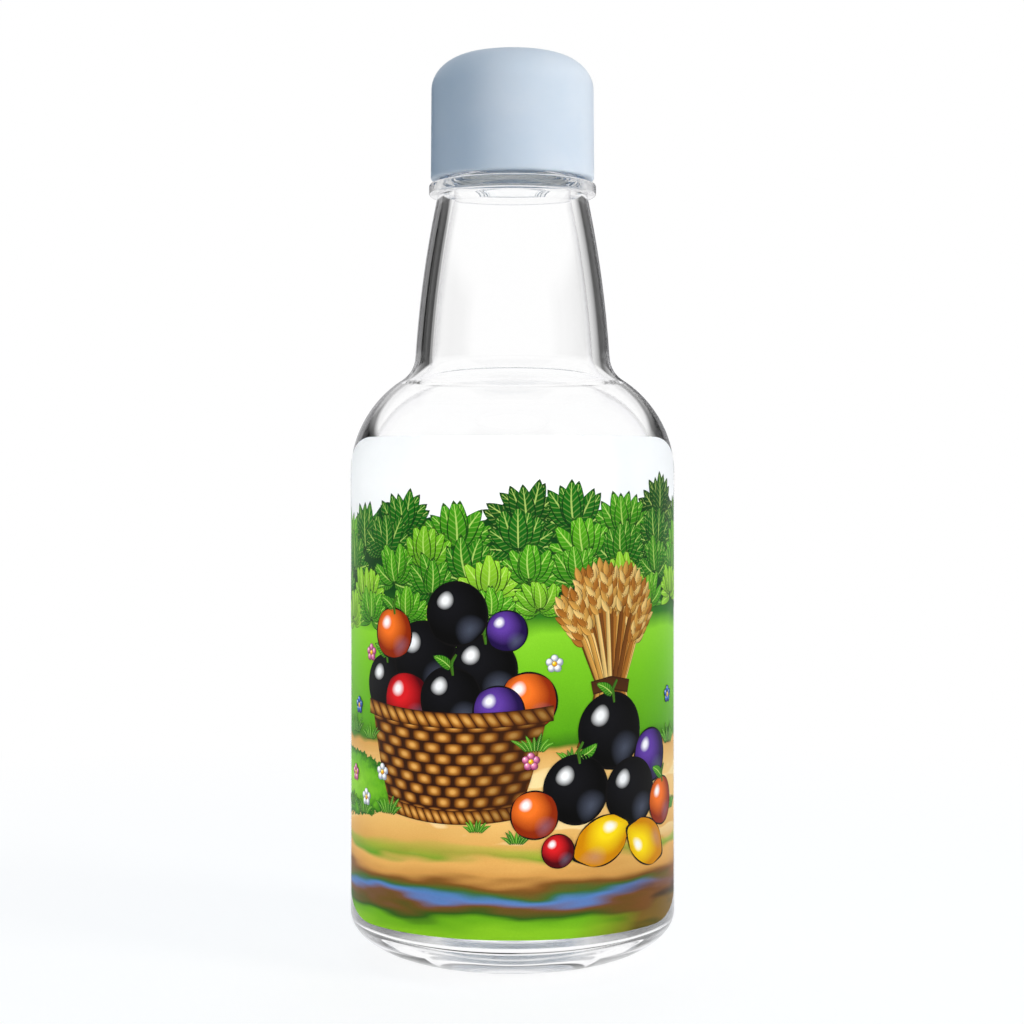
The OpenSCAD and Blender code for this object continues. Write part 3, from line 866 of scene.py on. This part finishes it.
def add_lamp(name, place, size, power, colour=(1, 1, 1), aim=0.055, spread=180):
    """A lamp that faces the bottle's axis at the height aim, and that neither glass nor gloss shows."""
    data = bpy.data.lights.new(name, "AREA")
    data.shape = "RECTANGLE"
    data.size, data.size_y = size
    data.energy = power
    data.color = colour
    data.spread = math.radians(spread)
    lamp = bpy.data.objects.new(name, data)
    lamp.location = place
    lamp.rotation_euler = (Vector((0, 0, aim)) - Vector(place)).to_track_quat("-Z", "Y").to_euler()
    lamp.visible_glossy = False
    lamp.visible_transmission = False
    bpy.context.collection.objects.link(lamp)


def seen(m, path):
    """1 for what the eye sees, straight or by way of gloss or glass, and 0 for light on its way to a surface."""
    return m.larger(path["Is Camera Ray"], m.larger(path["Is Glossy Ray"], path["Is Transmission Ray"]))


def add_world():
    """White behind the object and a plain soft level on it. Reflections, and light that has turned inside the glass,
    show a white ceiling and front over a wall of light and dark panels."""
    w = Nodes("studio", world=True)
    w.tree.nodes.clear()
    path = w.add("LightPath").outputs
    bounced = w.maths("GREATER_THAN", path["Glossy Depth"], 0.5)
    way = w.add("SeparateXYZ", {0: w.add("TexCoord").outputs["Generated"]}).outputs
    turn = w.maths("FRACT", w.maths("MULTIPLY_ADD", w.maths("ARCTAN2", way[0], way[1]), PANELS / math.tau, 0.5))
    panels = w.ramp(turn, [(0.0, 0.90), (0.05, 0.80), (0.07, 0.30), (0.10, 0.30), (0.12, 0.0), (0.33, 0.0),
                           (0.36, 0.3), (0.48, 0.3), (0.50, 0.0), (0.765, 0.0), (0.82, 0.40), (0.92, 0.80)])
    ceiling = w.ramp(way[2], [(0.005, 1.0), (0.05, 0.0), (0.26, 0.0), (0.32, 1.0)])
    front = w.ramp(w.times(way[1], -1.0), [(0.45, 0.0), (0.6, 1.0)])
    panels = w.mix(w.larger(ceiling, front), panels, (1, 1, 1, 1))
    colour = w.mix(bounced, (1, 1, 1, 1), panels)
    plain = w.add("Background", {"Color": (0.5, 0.76, 1, 1), "Strength": PLAIN_LEVEL}).outputs[0]
    scattered = w.maths("GREATER_THAN", path["Diffuse Depth"], 0.5)
    shown = w.add("Background", {"Color": colour, "Strength": w.maths("MULTIPLY_ADD", scattered, -0.5, 1.0)}).outputs[0]
    w.add("OutputWorld", {"Surface": w.add("MixShader", {0: seen(w, path), 1: plain, 2: shown}).outputs[0]})
    bpy.context.scene.world = w.data


def floor_material():
    """A white card. To the eye it shines with most of its white, so that it meets the backdrop, and the rest takes the
    object's shadow near by."""
    m = Nodes("floor_white")
    m.tree.nodes.clear()
    path = m.add("LightPath").outputs
    to_eye = m.times(seen(m, path), m.maths("LESS_THAN", path["Diffuse Depth"], 0.5))
    away = m.add("VectorMath", {0: m.add("TexCoord").outputs["Object"]}, operation="LENGTH").outputs["Value"]
    shine = m.times(to_eye, m.ramp(away, [(NEAR, 0.82), (FAR, 1.0)]))
    shaded = m.ramp(away, [(NEAR, 0.32), (FAR, 0.0)])
    card = m.add("BsdfDiffuse", {"Color": m.mix(to_eye, (0.94, 0.94, 0.95, 1), shaded)}).outputs[0]
    glow = m.add("Emission", {"Strength": shine}).outputs[0]
    m.add("OutputMaterial", {"Surface": m.add("AddShader", {0: card, 1: glow}).outputs[0]})
    return m.data


def add_floor():
    mesh = bpy.data.meshes.new("floor")
    angles = [i * math.tau / FLOOR_SIDES for i in range(FLOOR_SIDES)]
    mesh.from_pydata([(FLOOR_R * math.cos(a), FLOOR_R * math.sin(a), -FLOOR_DROP) for a in angles],
                     [], [tuple(range(FLOOR_SIDES))])
    floor = bpy.data.objects.new("floor", mesh)
    bpy.context.collection.objects.link(floor)
    mesh.materials.append(floor_material())


add_camera()
add_floor()
add_world()
add_lamp("key", (0.62, -0.36, 0.16), (0.20, 0.40), 3.2, WARM)
add_lamp("front", (0.14, -0.70, 0.06), (0.35, 0.45), 1.38, WARM)
add_lamp("label_fill", (-0.42, -0.35, LABEL_MIDDLE), (0.12, 0.074), 0.0185, (1, 0.94, 0.87), LABEL_MIDDLE, spread=3)
add_lamp("back", (0.15, 0.75, 0.12), (0.45, 0.45), 1.9)
add_lamp("top", (0, 0, 0.85), (0.5, 0.5), 1.0)
cycles = bpy.context.scene.cycles
# Light that has turned often in the glass still sees the panels and not the plain level.
cycles.blur_glossy = 0.0
# Every lamp is sampled, so that the narrow one leaves no edge.
cycles.use_light_tree = False
# Thick glass turns light many times.
cycles.max_bounces = cycles.transmission_bounces = cycles.glossy_bounces = BOUNCES
bpy.context.scene.view_settings.view_transform = "Standard"
